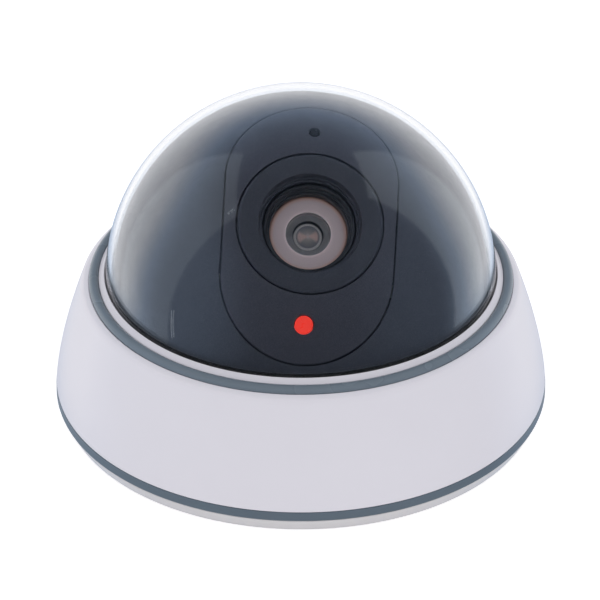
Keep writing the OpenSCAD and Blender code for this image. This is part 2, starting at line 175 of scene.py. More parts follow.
def rounded(points, steps=5):
    """An outline of (r, z, radius) corners with each corner rounded by its radius, as (r, z) points."""
    out = []
    count = len(points)
    for i, (x, y, radius) in enumerate(points):
        here = Vector((x, y))
        before = Vector(points[i - 1][:2]) - here
        after = Vector(points[(i + 1) % count][:2]) - here
        if radius <= 0 or before.length < 1e-6 or after.length < 1e-6:
            out.append((x, y))
            continue
        angle = before.angle(after)
        if angle > math.radians(178):
            out.append((x, y))
            continue
        reach = min(radius / math.tan(angle / 2), before.length * 0.49, after.length * 0.49)
        radius = reach * math.tan(angle / 2)
        bisector = (before.normalized() + after.normalized()).normalized()
        centre = here + bisector * (radius / math.sin(angle / 2))
        start = here + before.normalized() * reach - centre
        end = here + after.normalized() * reach - centre
        turn = start.angle_signed(end)
        for k in range(steps + 1):
            a = -turn * k / steps
            spun = Vector((start.x * math.cos(a) - start.y * math.sin(a),
                           start.x * math.sin(a) + start.y * math.cos(a)))
            point = centre + spun
            out.append((point.x, point.y))
    return out


def lathe(outline, count=FINE, place=None):
    """Points and faces of a closed (r, z) outline in mm turned about Z. place is its frame."""
    place = place or Matrix.Identity(4)
    verts, faces, rings = [], [], []
    for r, z in outline:
        if r < 1e-5:
            rings.append([len(verts)] * count)
            verts.append(place @ (Vector((0, 0, z)) * MM))
            continue
        rings.append(list(range(len(verts), len(verts) + count)))
        for k in range(count):
            a = 2 * math.pi * k / count
            verts.append(place @ (Vector((r * math.cos(a), r * math.sin(a), z)) * MM))
    for i in range(len(rings)):
        low, high = rings[i], rings[(i + 1) % len(rings)]
        for k in range(count):
            n = (k + 1) % count
            corners = [low[k], low[n], high[n], high[k]]
            corners = [c for j, c in enumerate(corners) if c not in corners[:j]]
            if len(corners) > 2:
                faces.append(corners)
    return verts, faces


def turned(name, outline, count=FINE, place=None, sharp=35):
    """An object turned from a closed outline."""
    return link_mesh(name, *lathe(outline, count, place), sharp=sharp)


def join(name, parts, sharp=35):
    """One object from several, which are removed."""
    bm = bmesh.new()
    for part in parts:
        bm.from_mesh(part.data)
    mesh = bpy.data.meshes.new(name)
    bm.to_mesh(mesh)
    bm.free()
    for part in parts:
        bpy.data.objects.remove(part)
    mesh.shade_smooth()
    mesh.set_sharp_from_angle(angle=math.radians(sharp))
    obj = bpy.data.objects.new(name, mesh)
    scene.collection.objects.link(obj)
    return obj


def combine(obj, operation, others):
    """Gives obj the mesh that joining others to it, or cutting them from it, makes, and removes them."""
    for other in others:
        modifier = obj.modifiers.new("combine", "BOOLEAN")
        modifier.operation = operation
        modifier.solver = "EXACT"
        modifier.object = other
    depsgraph = bpy.context.evaluated_depsgraph_get()
    mesh = bpy.data.meshes.new_from_object(obj.evaluated_get(depsgraph))
    obj.modifiers.clear()
    obj.data = mesh
    for other in others:
        bpy.data.objects.remove(other)


def cut(obj, cutters, sharp=35):
    """Cuts closed meshes out of obj."""
    combine(obj, "DIFFERENCE", [join("cutter", cutters)])
    obj.data.shade_smooth()
    obj.data.set_sharp_from_angle(angle=math.radians(sharp))
    return obj


def rod(radius, low, high, place, count=48):
    """A plain closed cylinder for cutting, in mm in the frame `place`."""
    return turned("rod", [(0, low), (radius, low), (radius, high), (0, high)], count, place)


def peg(radius, low, high, place, count, low_edge=0.0, high_edge=0.0):
    """A solid upright post in mm in the frame `place`, the edge of either end rounded."""
    outline = rounded([(0, low, 0), (radius, low, low_edge), (radius, high, high_edge), (0, high, 0)])
    return turned("peg", outline, count, place)


def round_normals(obj, centre, radius, tolerance=0.02):
    """Gives every face on a sphere the sphere's own normals, so that cuts don't dent its shading."""
    mesh = obj.data
    normals = [Vector((0, 0, 0))] * len(mesh.loops)
    for polygon in mesh.polygons:
        points = [mesh.vertices[v].co - centre for v in polygon.vertices]
        on_sphere = all(abs(p.length / MM - radius) < tolerance for p in points)
        if not on_sphere or polygon.normal.dot(points[0].normalized()) < 0.98:
            continue
        for loop in polygon.loop_indices:
            co = mesh.vertices[mesh.loops[loop].vertex_index].co
            normals[loop] = (co - centre).normalized()
    mesh.normals_split_custom_set(normals)


def at(x, y, z=0.0):
    """The face plate's frame moved by x, y, z mm along its own axes."""
    return FACE_FRAME @ Matrix.Translation(Vector((x, y, z)) * MM)


# ================================================================ material tools

class Paint:
    """A node material whose nodes are added by short calls."""

    def __init__(self, name):
        self.material = bpy.data.materials.new(name)
        self.material.use_nodes = True
        self.tree = self.material.node_tree
        self.shader = self.tree.nodes["Principled BSDF"]
        self.coords = self.tree.nodes.new("ShaderNodeTexCoord")

    def set(self, **values):
        for key, value in values.items():
            self.shader.inputs[key.replace("_", " ")].default_value = value

    def node(self, kind, **values):
        node = self.tree.nodes.new(kind)
        for key, value in values.items():
            if key in node.inputs:
                node.inputs[key].default_value = value
            else:
                setattr(node, key, value)
        return node

    def link(self, source, target):
        self.tree.links.new(source, target)

    def noise(self, scale, detail=3.0, roughness=0.5):
        node = self.node("ShaderNodeTexNoise", Scale=scale, Detail=detail, Roughness=roughness)
        self.link(self.coords.outputs["Object"], node.inputs["Vector"])
        return node.outputs["Fac"]

    def cells(self, scale):
        node = self.node("ShaderNodeTexVoronoi", Scale=scale)
        self.link(self.coords.outputs["Object"], node.inputs["Vector"])
        return node.outputs["Distance"]

    def ramp(self, value, stops):
        node = self.tree.nodes.new("ShaderNodeValToRGB")
        ramp = node.color_ramp
        while len(ramp.elements) < len(stops):
            ramp.elements.new(0.5)
        for element, (place, colour) in zip(ramp.elements, stops):
            element.position = place
            element.color = (*colour, 1.0)
        self.link(value, node.inputs["Fac"])
        return node.outputs["Color"]

    def spread(self, value, low, high, start=0.0, end=1.0):
        node = self.tree.nodes.new("ShaderNodeMapRange")
        node.inputs["From Min"].default_value = start
        node.inputs["From Max"].default_value = end
        node.inputs["To Min"].default_value = low
        node.inputs["To Max"].default_value = high
        self.link(value, node.inputs["Value"])
        return node.outputs["Result"]

    def math(self, operation, a, b):
        node = self.tree.nodes.new("ShaderNodeMath")
        node.operation = operation
        for socket, value in zip(node.inputs, (a, b)):
            if isinstance(value, (int, float)):
                socket.default_value = value
            else:
                self.link(value, socket)
        return node.outputs[0]

    def bump(self, height, strength, distance):
        node = self.node("ShaderNodeBump", Strength=strength, Distance=distance)
        self.link(height, node.inputs["Height"])
        self.link(node.outputs["Normal"], self.shader.inputs["Normal"])

    def colour(self, socket):
        self.link(socket, self.shader.inputs["Base Color"])

    def rough(self, socket):
        self.link(socket, self.shader.inputs["Roughness"])


def shade(colour, factor):
    return tuple(min(1.0, c * factor) for c in colour)


def moulded(name, colour, roughness=0.28, grain=0.10, variation=0.03):
    """Smooth moulded plastic: faint flow marks in the colour, uneven gloss and a very fine orange peel."""
    paint = Paint(name)
    flow = paint.noise(45.0, 4.0, 0.6)
    paint.colour(paint.ramp(flow, [
        (0.3, shade(colour, 1 - variation)), (0.7, shade(colour, 1 + variation)),
    ]))
    paint.rough(paint.spread(paint.noise(60.0, 2.0), roughness * 0.95, roughness * 1.05, 0.3, 0.7))
    if grain:
        paint.bump(paint.noise(2600.0, 2.0), grain, 0.00004)
    paint.set(IOR=1.5)
    return paint.material


def sparked(name, colour, roughness=0.5, size=3000.0, depth=0.00006, strength=0.15):
    """Black plastic from a spark-eroded mould: a fine pebbled grain, with its colour broken up by it."""
    paint = Paint(name)
    pebbles = paint.cells(size)
    dust = paint.noise(size * 1.7, 3.0, 0.7)
    height = paint.math("ADD", paint.math("MULTIPLY", pebbles, 0.6), paint.math("MULTIPLY", dust, 0.6))
    paint.colour(paint.ramp(dust, [(0.32, shade(colour, 0.72)), (0.5, colour), (0.68, shade(colour, 1.45))]))
    paint.rough(paint.spread(paint.noise(300.0, 4.0), roughness * 0.88, roughness * 1.15, 0.3, 0.7))
    paint.bump(height, strength, depth)
    paint.set(IOR=1.46)
    return paint.material


def metal(name, colour, roughness=0.3, scale=900.0):
    """Plated or drawn metal with fine scratches and slight staining."""
    paint = Paint(name)
    stretch = paint.node("ShaderNodeMapping")
    stretch.inputs["Scale"].default_value = (1.0, 1.0, 9.0)
    paint.link(paint.coords.outputs["Object"], stretch.inputs["Vector"])
    lines = paint.node("ShaderNodeTexNoise", Scale=scale, Detail=3.0)
    paint.link(stretch.outputs["Vector"], lines.inputs["Vector"])
    stain = paint.noise(120.0, 4.0)
    paint.colour(paint.ramp(stain, [(0.3, shade(colour, 0.85)), (0.7, shade(colour, 1.08))]))
    paint.rough(paint.spread(lines.outputs["Fac"], roughness * 0.7, roughness * 1.4, 0.3, 0.7))
    paint.bump(lines.outputs["Fac"], 0.25, 0.00003)
    paint.set(Metallic=1.0)
    return paint.material


def circuit_board(name):
    """Green solder mask with paler copper tracks under it, a grid of vias and a satin face."""
    paint = Paint(name)
    green = (0.012, 0.095, 0.040)
    track = (0.030, 0.190, 0.075)
    bricks = paint.node("ShaderNodeTexBrick")
    bricks.offset = 0.37
    bricks.squash = 0.6
    bricks.inputs["Scale"].default_value = 420.0
    bricks.inputs["Mortar Size"].default_value = 0.09
    bricks.inputs["Mortar Smooth"].default_value = 0.1
    bricks.inputs["Brick Width"].default_value = 0.9
    bricks.inputs["Row Height"].default_value = 0.42
    bricks.inputs["Color1"].default_value = (*green, 1)
    bricks.inputs["Color2"].default_value = (*shade(green, 1.25), 1)
    bricks.inputs["Mortar"].default_value = (*track, 1)
    paint.link(paint.coords.outputs["Object"], bricks.inputs["Vector"])
    paint.colour(bricks.outputs["Color"])
    paint.rough(paint.spread(paint.noise(400.0), 0.25, 0.42, 0.3, 0.7))
    paint.bump(bricks.outputs["Fac"], 0.3, 0.00003)
    paint.set(IOR=1.5)
    return paint.material


def clear(name, tint, ior, film=0.0, film_ior=1.33):
    """Clear moulded or ground material with faint polishing haze and, for film nm, a coating."""
    paint = Paint(name)
    paint.set(Transmission_Weight=1.0, IOR=ior, Base_Color=(*tint, 1.0))
    paint.rough(paint.spread(paint.noise(70.0, 5.0, 0.6), 0.0, 0.015, 0.5, 0.8))
    if film:
        paint.set(Thin_Film_Thickness=film, Thin_Film_IOR=film_ior)
    return paint.material


# ================================================================ materials

HOUSING = moulded("housing_plastic", (0.675, 0.66, 0.71), roughness=0.3, grain=0, variation=0.008)
BASE_PLASTIC = moulded("base_plastic", (0.615, 0.60, 0.61), roughness=0.36, grain=0, variation=0.008)
UPPER_GREY = moulded("upper_band_plastic", (0.135, 0.17, 0.205), roughness=0.27, grain=0.05, variation=0.03)
LOWER_GREY = moulded("lower_band_plastic", (0.105, 0.14, 0.175), roughness=0.36, grain=0.05, variation=0.03)
BALL_BLACK = sparked("ball_plastic", (0.068, 0.080, 0.112))
FACE_BLACK = sparked("face_plastic", (0.072, 0.080, 0.112))
BEZEL_BLACK = sparked("bezel_plastic", (0.060, 0.070, 0.098), roughness=0.46, strength=0.3)
BARREL_BLACK = moulded("barrel_plastic", (0.040, 0.049, 0.064), roughness=0.4, grain=0.05, variation=0.15)
INNER_BLACK = sparked("inner_plastic", (0.018, 0.018, 0.018), roughness=0.55, size=1800.0)
RUBBER = sparked("black_rubber", (0.012, 0.012, 0.012), roughness=0.7, size=3400.0, depth=0.00005)
STEEL = metal("plated_steel", (0.60, 0.60, 0.62), roughness=0.28)
BLACK_STEEL = metal("black_steel", (0.05, 0.05, 0.055), roughness=0.42)
YOKE_METAL = metal("yoke_sheet", (0.50, 0.51, 0.53), roughness=0.35, scale=700.0)
CAN_METAL = metal("capacitor_can", (0.72, 0.73, 0.76), roughness=0.22)
ACETAL = moulded("acetal", (0.62, 0.62, 0.58), roughness=0.42)
IVORY = moulded("connector_nylon", (0.60, 0.55, 0.42), roughness=0.45)
CHIP = sparked("chip_resin", (0.014, 0.014, 0.015), roughness=0.5, size=5200.0, depth=0.00003)
FERRITE = sparked("ferrite", (0.030, 0.030, 0.034), roughness=0.6, size=3200.0)
BOARD = circuit_board("circuit_board")
DOME_CLEAR = clear("dome_polycarbonate", (0.99, 0.995, 1.0), ior=1.58)
LENS_GLASS = clear("lens_glass", (0.93, 0.95, 0.97), ior=1.6, film=320.0, film_ior=1.38)
FILTER_GLASS = clear("filter_glass", (0.55, 0.85, 0.80), ior=1.52)


def lamp_resin():
    """Red diffusing resin, lit from inside."""
    paint = Paint("lamp_resin")
    cloud = paint.noise(900.0, 3.0)
    paint.colour(paint.ramp(cloud, [(0.3, (0.62, 0.022, 0.016)), (0.7, (0.74, 0.034, 0.024))]))
    paint.set(Emission_Color=(1.0, 0.055, 0.036, 1.0), Emission_Strength=0.62, IOR=1.5,
              Subsurface_Weight=0.15)
    paint.rough(paint.spread(paint.noise(700.0), 0.25, 0.35, 0.3, 0.7))
    return paint.material


def sensor_resin():
    """Near-black resin over a photocell."""
    paint = Paint("sensor_resin")
    cloud = paint.noise(1500.0)
    paint.colour(paint.ramp(cloud, [(0.3, (0.006, 0.006, 0.010)), (0.7, (0.014, 0.013, 0.022))]))
    paint.rough(paint.spread(paint.noise(900.0), 0.12, 0.22, 0.3, 0.7))
    return paint.material


def from_lens_axis(paint):
    """Distance in metres from the lens axis."""
    offset = paint.node("ShaderNodeVectorMath", operation="SUBTRACT")
    offset.inputs[1].default_value = BALL_CENTRE
    paint.link(paint.coords.outputs["Object"], offset.inputs[0])
    swept = paint.node("ShaderNodeVectorMath", operation="CROSS_PRODUCT")
    swept.inputs[1].default_value = LENS_AXIS
    paint.link(offset.outputs[0], swept.inputs[0])
    distance = paint.node("ShaderNodeVectorMath", operation="LENGTH")
    paint.link(swept.outputs[0], distance.inputs[0])
    return distance.outputs["Value"]


def lens_with_painted_glints():
    """The inner lens: coated glass with a painted pink highlight at its middle, a bright ring near its edge
    and painted pink glints on both sides of its middle.
    """
    paint = Paint("lens_with_painted_glints")
    across = paint.node("ShaderNodeVectorMath", operation="DOT_PRODUCT")
    across.inputs[1].default_value = ACROSS
    paint.link(paint.coords.outputs["Object"], across.inputs[0])
    side = paint.math("ABSOLUTE", across.outputs["Value"], 0)
    distance = from_lens_axis(paint)
    radius = paint.math("MULTIPLY", distance, 1 / (PUPIL_LENS_R * MM))
    # painted pink highlight at the middle of the lens; a bright ring near its edge
    glass = paint.ramp(radius, [
        (0.0, (1.0, 0.85, 0.85)), (0.25, (0.62, 0.54, 0.55)), (0.55, (0.42, 0.42, 0.45)),
        (0.76, (0.34, 0.34, 0.38)), (0.82, (1.0, 0.97, 0.99)), (0.93, (1.0, 0.97, 0.99)),
        (0.97, (0.34, 0.34, 0.38)),
    ])
    share = paint.math("DIVIDE", side, paint.math("MAXIMUM", distance, 0.0002))
    # mask of the painted pink glints on both sides of the middle
    painted_glint_mask = paint.spread(share, 0.0, 1.0, 0.72, 0.95)
    inside = paint.spread(radius, 1.0, 0.0, 0.62, 0.76)
    blend = paint.node("ShaderNodeMix", data_type="RGBA")
    colours = [socket for socket in blend.inputs if socket.type == "RGBA"]
    paint.link(paint.math("MULTIPLY", painted_glint_mask, inside), blend.inputs[0])
    paint.link(glass, colours[0])
    # colour of the painted pink glints
    colours[1].default_value = (1.0, 0.74, 0.70, 1.0)
    paint.colour([socket for socket in blend.outputs if socket.type == "RGBA"][0])
    paint.rough(paint.spread(paint.noise(500.0), 0.10, 0.18, 0.3, 0.7))
    paint.set(IOR=1.6, Coat_Weight=0.8, Coat_Roughness=0.03)
    return paint.material


def tinted_disc():
    """The tinted plastic round the pupil, with a painted highlight ring on the raised rim at the pupil and
    painted orange glints round its outer rim, going dark brown at the very edge.
    """
    paint = Paint("tinted_disc")
    radius = paint.math("MULTIPLY", from_lens_axis(paint), 1 / (LENS_DISC_R * MM))
    # painted highlight: the near-white ring on the raised rim at the pupil; painted orange glints round the
    # outer rim
    paint.colour(paint.ramp(radius, [
        (0.40, (0.42, 0.41, 0.43)), (0.52, (0.50, 0.48, 0.50)), (0.57, (1.0, 0.9, 0.9)),
        (0.60, (0.85, 0.68, 0.70)), (0.66, (0.72, 0.58, 0.60)), (0.88, (0.70, 0.56, 0.58)),
        (0.95, (0.78, 0.52, 0.46)), (1.0, (0.36, 0.20, 0.16)),
    ]))
    paint.rough(paint.spread(paint.noise(500.0), 0.16, 0.24, 0.3, 0.7))
    paint.bump(paint.noise(2200.0), 0.06, 0.00004)
    paint.set(IOR=1.5, Coat_Weight=0.6, Coat_Roughness=0.05, Subsurface_Weight=0.1)
    return paint.material


LAMP_RED = lamp_resin()
LENS_GLINTS_PAINTED = lens_with_painted_glints()
STOP_GREY = moulded("stop_plastic", (0.13, 0.135, 0.15), roughness=0.4, grain=0.05, variation=0.08)
SENSOR_DARK = sensor_resin()
PINK_WITH_PAINTED_GLINTS = tinted_disc()

NODE_LOOKS = {
    "cable_grommet": RUBBER, "pan_hub": ACETAL, "hub_screws": STEEL, "main_board": BOARD,
    "board_screws": STEEL, "processor_chip": CHIP, "board_capacitors": CAN_METAL,
    "board_inductor": FERRITE, "cable_socket": IVORY, "pan_washer": STEEL, "pan_clip": STEEL,
    # the dome's retaining ring is near-black rubber; its collar is a dark piece put in as painted shade for
    # the gap between the ball and the lip
    "dome_seal": RUBBER, "dome_retaining_ring": RUBBER, "dome_ring_screws": STEEL,
    "cover_set_screws": BLACK_STEEL, "turntable": INNER_BLACK, "yoke_arm_left": YOKE_METAL,
    "yoke_arm_right": YOKE_METAL, "yoke_screws": STEEL, "tilt_washers": ACETAL,
    "face_screws": STEEL, "tilt_pivot_pins": STEEL, "indicator_board": BOARD,
    "indicator_screws": STEEL, "lens_holder": INNER_BLACK, "holder_washer": STEEL,
    "sensor_board": BOARD, "image_sensor": SENSOR_DARK, "sensor_socket": IVORY,
    "infrared_filter": FILTER_GLASS, "sensor_board_screws": STEEL, "focus_ring": INNER_BLACK,
    "aperture_stop": STOP_GREY, "rear_lens": LENS_GLASS,
}


def paint_frame():
    """Gives every CAD node that stays in view its own material."""
    for name, material in NODE_LOOKS.items():
        for material_slot in frame["nodes"][name].material_slots:
            material_slot.material = material


def put_on(obj, body, node, material):
    """Puts a new piece on its body in place of its CAD node, with its material."""
    obj.data.materials.clear()
    obj.data.materials.append(material)
    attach(obj, body)
    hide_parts(node)


# ================================================================ base and cover

def side_r(z):
    """Outer radius of the housing's gently bulging side at a height."""
    top_r = BASE_R - 0.1
    return top_r - (top_r - SHOULDER_R) * ((z - BAND_HIGH) / (SIDE_TURN_Z - BAND_HIGH)) ** 1.5


def radial(angle, radius, z):
    """A frame at an angle in degrees round the upright axis, its Z pointing outwards."""
    a = math.radians(angle)
    out = Vector((math.cos(a), math.sin(a), 0))
    side = Vector((-math.sin(a), math.cos(a), 0))
    turn = Matrix((side, Vector((0, 0, 1)), out)).transposed().to_4x4()
    return Matrix.Translation((out * radius + Vector((0, 0, z))) * MM) @ turn


def upright(angle, radius):
    """A frame standing upright at an angle and radius."""
    a = math.radians(angle)
    return Matrix.Translation(Vector((math.cos(a), math.sin(a), 0)) * radius * MM)


def make_housing():
    """The white shell from the skirt to the lip, with its dome screw bosses and set screw holes."""
    steps = 36
    low = SKIRT_LOW
    set_screw_hole_r = 1.55
    boss_r = 1.7
    boss_top = 36
    pilot_r = 0.95
    outside = [(side_r(z), z, 0) for z in
               (low + 0.35 + (SIDE_TURN_Z - low - 0.35) * i / steps for i in range(steps + 1))]
    inside = [(side_r(z) - WALL, z, 0) for z in
              (low + 0.3 + (32.6 - low - 0.3) * (1 - i / steps) for i in range(steps + 1))]
    outline = rounded(
        [(side_r(low) - 0.02, low, 0.3)] + outside
        + [(57.45, 36.87, 1.8), (56.0, 37.53, 0.18), (55.95, 36.97, 0.05), (53.32, 38.11, 0.05),
           (53.3, 38.77, 0.16), (51.95, LIP_Z, 0.35), (LIP_R, LIP_Z - 0.25, 0.12),
           (LIP_R, LIP_UNDER, 0.1), (55.6, LIP_UNDER, 0.4)]
        + inside + [(side_r(low) - WALL, low, 0.25)])
    shell = turned("housing_shell_skin", outline)
    cut(shell, [rod(set_screw_hole_r, -3.0, 6.0, radial(a, 62, SET_SCREW_Z)) for a in SET_SCREW_ANGLES])
    spots = [upright(a, DOME_SCREW_R) for a in DOME_SCREW_ANGLES]
    bosses = [peg(boss_r, FLANGE_LOW, boss_top, spot, 32, low_edge=0.2) for spot in spots]
    pilots = [rod(pilot_r, FLANGE_LOW - 1, FLANGE_LOW + 3.2, spot, 24) for spot in spots]
    posts = cut(join("posts", bosses), pilots)
    put_on(join("housing_shell_skin", [shell, posts]), "cover", "housing_shell", HOUSING)


def make_upper_band():
    """The grey bead that stands half out of the housing's shoulder."""
    centre_r, centre_z, radius = 54.62, 37.87, 1.40
    start, end = math.radians(-32), math.radians(160)
    arc = []
    steps = 26
    for i in range(steps + 1):
        a = start + (end - start) * i / steps
        arc.append((centre_r + radius * math.cos(a), centre_z + radius * math.sin(a), 0))
    outline = rounded(arc + [(53.38, 38.14, 0.05), (55.86, 37.06, 0.05)], 3)
    put_on(turned("upper_band_bead", outline), "cover", "upper_band", UPPER_GREY)


def make_lower_band():
    """The grey ring between the base and the housing's skirt."""
    outline = rounded([
        (SPIGOT_R + 0.1, BAND_LOW + 0.02, 0), (BASE_R - 0.02, BAND_LOW + 0.02, 0.32),
        (BASE_R - 0.02, BAND_HIGH, 0.32), (SPIGOT_R + 0.1, BAND_HIGH, 0)])
    put_on(turned("lower_band_ring", outline), "base", "lower_band", LOWER_GREY)


def make_base():
    """The base plate: a dish with a spigot for the cover, screw pads, board posts and a cable entry."""
    wall_pad_r, wall_pad_top = 4.3, 4.6
    board_post_r, board_post_top = 2.5, 6
    entry_pad_r, entry_pad_top = 8.5, 4.2
    wall_hole_r, thread_r = 2.25, 1.05
    entry_r, entry_rebate_r, entry_rebate = 6.0, 7.6, 1.25
    low, high = -1, 8        # cutters reach from below the plate to above every pad
    plate = turned("base_plate_moulding", rounded([
        (0, 0, 0), (62.6, 0, 0.5), (BASE_R - 0.1, BAND_LOW - 0.02, 0.25), (SPIGOT_R, BAND_LOW - 0.02, 0.1),
        (SPIGOT_R, SPIGOT_TOP, 0.6), (SPIGOT_R - 2, SPIGOT_TOP, 0.3), (SPIGOT_R - 2, FLOOR_TOP, 0.6),
        (0, FLOOR_TOP, 0)]))
    walls = [upright(a, WALL_SCREW_R) for a in WALL_SCREW_ANGLES]
    posts = [upright(a, BOARD_POST_R) for a in BOARD_POST_ANGLES]
    hubs = [upright(a, HUB_SCREW_R) for a in HUB_SCREW_ANGLES]
    entry = upright(GROMMET_ANGLE, GROMMET_R)
    pads = [peg(wall_pad_r, 1, wall_pad_top, spot, 48, high_edge=0.3) for spot in walls]
    pads += [peg(board_post_r, 1, board_post_top, spot, 40, high_edge=0.15) for spot in posts]
    pads.append(peg(entry_pad_r, 1, entry_pad_top, entry, 64, high_edge=0.3))
    combine(plate, "UNION", pads)
    cutters = [rod(wall_hole_r, low, high, spot, 48) for spot in walls]
    cutters += [rod(thread_r, 1.2, high, spot, 24) for spot in posts]
    cutters += [rod(thread_r, 1.0, high, spot, 24) for spot in hubs]
    cutters.append(rod(entry_r, low, high, entry, 64))
    cut(plate, cutters)
    cut(plate, [rod(entry_rebate_r, low, entry_rebate, entry, 64)])
    put_on(plate, "base", "base_plate", BASE_PLASTIC)


def make_dome():
    """The clear shell: a hemisphere on a short neck with a flange, all one wall."""
    steps = 72
    inner_r = DOME_R - DOME_WALL
    flange_top = FLANGE_LOW + FLANGE_T
    outer = [(DOME_R * math.cos(a), BALL_Z + DOME_R * math.sin(a), 0)
             for a in (math.pi / 2 * i / steps for i in range(steps + 1))]
    inner = [(inner_r * math.cos(a), BALL_Z + inner_r * math.sin(a), 0)
             for a in (math.pi / 2 * (1 - i / steps) for i in range(steps + 1))]
    outer[-1] = (0, outer[-1][1], 0)
    inner[0] = (0, inner[0][1], 0)
    outline = rounded(
        [(inner_r, FLANGE_LOW, 0.1), (FLANGE_R, FLANGE_LOW, 0.2), (FLANGE_R, flange_top, 0.2),
         (DOME_R, flange_top, 0.3)] + outer + inner)
    dome = turned("clear_dome_shell", outline, FINE, sharp=30)
    screw_hole_r = 2.0
    holes = [rod(screw_hole_r, 30, 35.5, upright(a, DOME_SCREW_R), 32) for a in DOME_SCREW_ANGLES]
    cut(dome, holes, sharp=30)
    put_on(dome, "cover", "clear_dome", DOME_CLEAR)


# ================================================================ eyeball

OUTLINE_POINTS = 288


def long_hole(radius):
    """Points round a long hole: two half circles joined by straights, evenly spaced."""
    quarter = math.pi * radius / 2
    total = 4 * quarter + 4 * FACE_STRAIGHT
    points = []
    for i in range(OUTLINE_POINTS):
        s = total * i / OUTLINE_POINTS
        if s < FACE_STRAIGHT:
            points.append((radius, s))
            continue
        s -= FACE_STRAIGHT
        if s < 2 * quarter:
            a = s / radius
            points.append((radius * math.cos(a), FACE_STRAIGHT + radius * math.sin(a)))
            continue
        s -= 2 * quarter
        if s < 2 * FACE_STRAIGHT:
            points.append((-radius, FACE_STRAIGHT - s))
            continue
        s -= 2 * FACE_STRAIGHT
        if s < 2 * quarter:
            a = math.pi + s / radius
            points.append((radius * math.cos(a), -FACE_STRAIGHT + radius * math.sin(a)))
            continue
        s -= 2 * quarter
        points.append((radius, -FACE_STRAIGHT + s))
    return points


BEARINGS = [math.atan2(y, x) for x, y in long_hole(FACE_TURN_R)]


def ring_on(mix, circle_r, hole_r, height):
    """One ring of the face plate: a circle mixed with a long hole, z given by height(x, y)."""
    ring = []
    for bearing, (hx, hy) in zip(BEARINGS, long_hole(hole_r)):
        x = (1 - mix) * circle_r * math.cos(bearing) + mix * hx
        y = (1 - mix) * circle_r * math.sin(bearing) + mix * hy
        z = height(x, y)
        ring.append(FACE_FRAME @ (Vector((x, y, z)) * MM))
    return ring


def on_ball(radius, drop=0.0):
    """A height for ring_on: on a sphere about the ball's centre, or sunk below it."""
    return lambda x, y: math.sqrt(radius * radius - x * x - y * y) - drop


def level(z):
    """A height for ring_on: flat."""
    return lambda x, y: z


def loft(name, rings, sharp=35):
    """A closed object from closed rings joined in turn, the last to the first."""
    count = len(rings[0])
    verts = [point for ring in rings for point in ring]
    faces = []
    for i in range(len(rings)):
        a, b = i * count, ((i + 1) % len(rings)) * count
        for k in range(count):
            n = (k + 1) % count
            faces.append((a + k, a + n, b + n, b + k))
    return link_mesh(name, verts, faces, sharp)


def corner(radius, steps=5):
    """(inset, drop) pairs round a quarter circle, from the wall to the face."""
    for i in range(steps + 1):
        a = math.pi / 2 * i / steps
        yield radius * (1 - math.cos(a)), radius * (1 - math.sin(a))


def make_face_plate():
    """The long plate: outside, lens recess, boss and inside in one loft, then its holes, ears and posts."""
    edge = 0.22
    hole_edge = 0.2
    sunk = RECESS_FLOOR - 1.8
    ear_r, ear_x = 4.15, 24.85
    post_x, post_y, post_r = 9, 22, 2.1
    rings = [ring_on(1, 0, FACE_TURN_R, level(FACE_BACK))]
    rings.append(ring_on(1, 0, FACE_TURN_R, on_ball(BALL_R, 1.2)))
    for inset, drop in corner(edge):
        rings.append(ring_on(1, 0, FACE_TURN_R - inset, on_ball(BALL_R, drop)))
    steps = 26
    for i in range(1, steps):
        rings.append(ring_on(1 - i / steps, RECESS_R + hole_edge, FACE_TURN_R - edge, on_ball(BALL_R)))
    for inset, drop in reversed(list(corner(hole_edge))):
        rings.append(ring_on(0, RECESS_R + inset, 1, on_ball(BALL_R, drop)))
    rings.append(ring_on(0, RECESS_R, 1, level(RECESS_FLOOR)))
    rings.append(ring_on(0, BOSS_BORE_R, 1, level(RECESS_FLOOR)))
    rings.append(ring_on(0, BOSS_BORE_R, 1, level(FACE_BACK)))
    rings.append(ring_on(0, BOSS_R, 1, level(FACE_BACK)))
    rings.append(ring_on(0, BOSS_R, 1, level(sunk)))
    rings.append(ring_on(0, RECESS_R + 1.4, 1, level(sunk)))
    inner_steps = 8
    for i in range(1, inner_steps + 1):
        rings.append(ring_on(i / inner_steps, RECESS_R + 1.4, FACE_TURN_R - SKIRT_T, on_ball(FACE_INNER_R)))
    rings.append(ring_on(1, 0, FACE_TURN_R - SKIRT_T, level(FACE_BACK)))
    plate = loft("face_plate_moulding", rings)
    cut(plate, [
        rod(LAMP_HOLE_R, 36, 46, at(0, -LAMP_OFFSET) @ LAMP_SQUASH, 64),
        rod(SENSOR_HOLE_R, 36, 46, at(0, SENSOR_OFFSET), 48),
    ])
    round_normals(plate, BALL_CENTRE, BALL_R)
    ears = []
    for side in (-1, 1):
        for y in (-EAR_Y, EAR_Y):
            outline = rounded([(-ear_r, -3, 0.8), (ear_r, -3, 0.8), (ear_r, 3, 0.8), (-ear_r, 3, 0.8)])
            ears.append(slab("ear", outline, 0, 1.6, at(side * ear_x, y, FACE_BACK)))
    ears = cut(join("ears", ears), [rod(1.05, 30, 37, at(x, y), 24)
                                    for x in (-EAR_X, EAR_X) for y in (-EAR_Y, EAR_Y)])
    spots = [at(x, y) for x in (-post_x, post_x) for y in (-post_y, post_y)]
    posts = cut(join("posts", [peg(post_r, 35.3, 41.5, spot, 32, low_edge=0.15) for spot in spots]),
                [rod(0.85, 35, 39.3, spot, 24) for spot in spots])
    plate = join_keeping_normals(plate, [ears, posts])
    put_on(plate, "tilt", "face_plate", FACE_BLACK)


